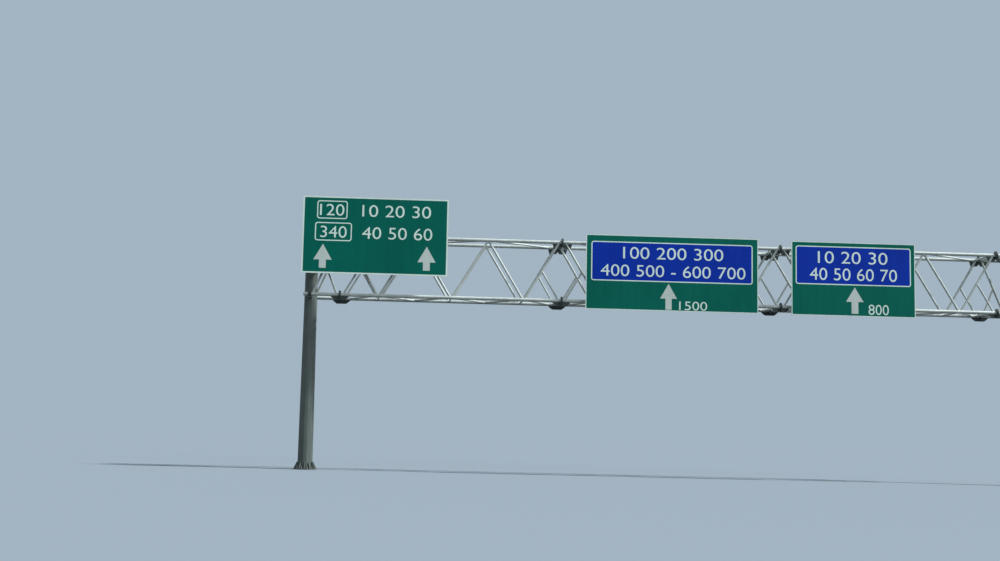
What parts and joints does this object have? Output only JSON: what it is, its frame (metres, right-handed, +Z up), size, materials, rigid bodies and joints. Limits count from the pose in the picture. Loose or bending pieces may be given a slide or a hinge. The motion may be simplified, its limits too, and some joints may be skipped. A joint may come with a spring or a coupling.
{
  "type": "overhead sign gantry",
  "caption": "Overhead sign gantry: tubular box truss on two tapered faceted posts, flanged sections, with large direction sign panels clamped on the front.",
  "frame": {"origin": "centre of the underside of the left base plate, on the post's axis", "axes": "+X along the truss from the left post to the right one, +Y away from the reader of the signs, +Z up"},
  "size_m": [28.7, 1.975, 10.4],
  "materials": {
    "truss_steel": "hot-dip galvanised, dull",
    "post_steel": "hot-dip galvanised, weathered and dark",
    "rail_steel": "galvanised",
    "bolt_steel": "zinc plated",
    "sign_green": "green retroreflective sheeting on sheet metal",
    "sign_blue": "blue retroreflective sheeting",
    "sign_white": "white retroreflective sheeting"
  },
  "bodies": {
    "root": {"left_base_plate": "post_steel", "left_base_ribs": "post_steel", "left_chord_collars": "post_steel", "left_end_front_face": "truss_steel", "left_end_rear_face": "truss_steel", "left_end_struts": "truss_steel", "left_post_brackets": "post_steel", "left_post_cap": "post_steel", "left_post_shaft": "post_steel", "left_sign_clamps": "rail_steel", "left_sign_panel": "sign_green", "left_sign_rails": "rail_steel", "left_sign_stiffeners": "rail_steel", "middle_sign_clamps": "rail_steel", "middle_sign_panel": "sign_green", "middle_sign_rails": "rail_steel", "middle_sign_stiffeners": "rail_steel", "right_base_plate": "post_steel", "right_base_ribs": "post_steel", "right_chord_collars": "post_steel", "right_end_front_face": "truss_steel", "right_end_rear_face": "truss_steel", "right_end_struts": "truss_steel", "right_post_brackets": "post_steel", "right_post_cap": "post_steel", "right_post_shaft": "post_steel", "right_sign_clamps": "rail_steel", "right_sign_panel": "sign_green", "right_sign_rails": "rail_steel", "right_sign_stiffeners": "rail_steel", "section_1_bottom_bracing": "truss_steel", "section_1_front_face": "truss_steel", "section_1_rear_face": "truss_steel", "section_1_top_bracing": "truss_steel", "section_2_bottom_bracing": "truss_steel", "section_2_front_face": "truss_steel", "section_2_rear_face": "truss_steel", "section_2_top_bracing": "truss_steel", "section_3_bottom_bracing": "truss_steel", "section_3_front_face": "truss_steel", "section_3_rear_face": "truss_steel", "section_3_top_bracing": "truss_steel"}
  },
  "joints": []
}
